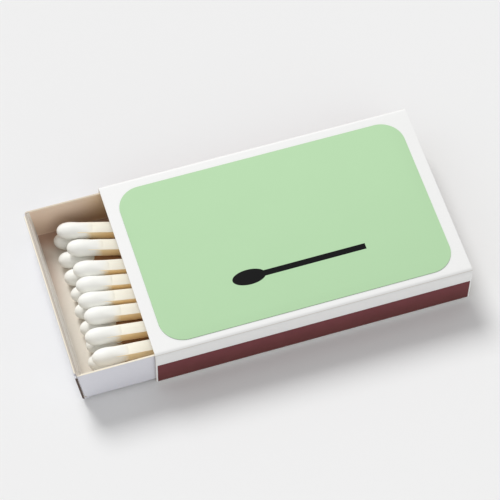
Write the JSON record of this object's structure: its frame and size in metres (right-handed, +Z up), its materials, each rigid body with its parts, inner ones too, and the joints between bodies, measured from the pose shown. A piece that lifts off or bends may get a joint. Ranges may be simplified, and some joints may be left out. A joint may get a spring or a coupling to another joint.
{
  "type": "matchbox",
  "caption": "Slim drawer matchbox: white card sleeve with green label and dark striking sides, tray pulled part way out, two layers of white-headed wooden matches.",
  "frame": {"origin": "middle of the sleeve's flat underside, where the box stands on the table", "axes": "+X along the sleeve (the tray is drawn out towards -X), +Y across it, away from the side nearest the camera, +Z up through the label"},
  "size_m": [0.066, 0.0332, 0.009],
  "materials": {
    "white_board": "smooth white-lined board, satin",
    "green_paper": "matt printed paper",
    "striking_coat": "fine-grained dark brown-red striking coat, matt",
    "lined_board": "board, white outside and grey-beige inside",
    "aspen": "bare sawn aspen splint",
    "head_compound": "smooth dried match compound, satin"
  },
  "bodies": {
    "sleeve_body": {"sleeve": "white_board", "top_label": "green_paper", "striker_near": "striking_coat", "striker_far": "striking_coat"},
    "tray_body": {"tray": "lined_board", "lower_match_1_stick": "aspen", "lower_match_1_head": "head_compound", "lower_match_2_stick": "aspen", "lower_match_2_head": "head_compound", "lower_match_3_stick": "aspen", "lower_match_3_head": "head_compound", "lower_match_4_stick": "aspen", "lower_match_4_head": "head_compound", "lower_match_5_stick": "aspen", "lower_match_5_head": "head_compound", "lower_match_6_stick": "aspen", "lower_match_6_head": "head_compound", "lower_match_7_stick": "aspen", "lower_match_7_head": "head_compound", "lower_match_8_stick": "aspen", "lower_match_8_head": "head_compound", "top_match_1_stick": "aspen", "top_match_1_head": "head_compound", "top_match_2_stick": "aspen", "top_match_2_head": "head_compound", "top_match_3_stick": "aspen", "top_match_3_head": "head_compound", "top_match_4_stick": "aspen", "top_match_4_head": "head_compound", "top_match_5_stick": "aspen", "top_match_5_head": "head_compound", "top_match_6_stick": "aspen", "top_match_6_head": "head_compound", "top_match_7_stick": "aspen", "top_match_7_head": "head_compound", "top_match_8_stick": "aspen", "top_match_8_head": "head_compound"}
  },
  "joints": [
    {"name": "tray_slide", "type": "slide", "parent": "sleeve_body", "child": "tray_body", "axis": [-1, 0, 0], "range_m": [-0.067, 0.041]}
  ]
}
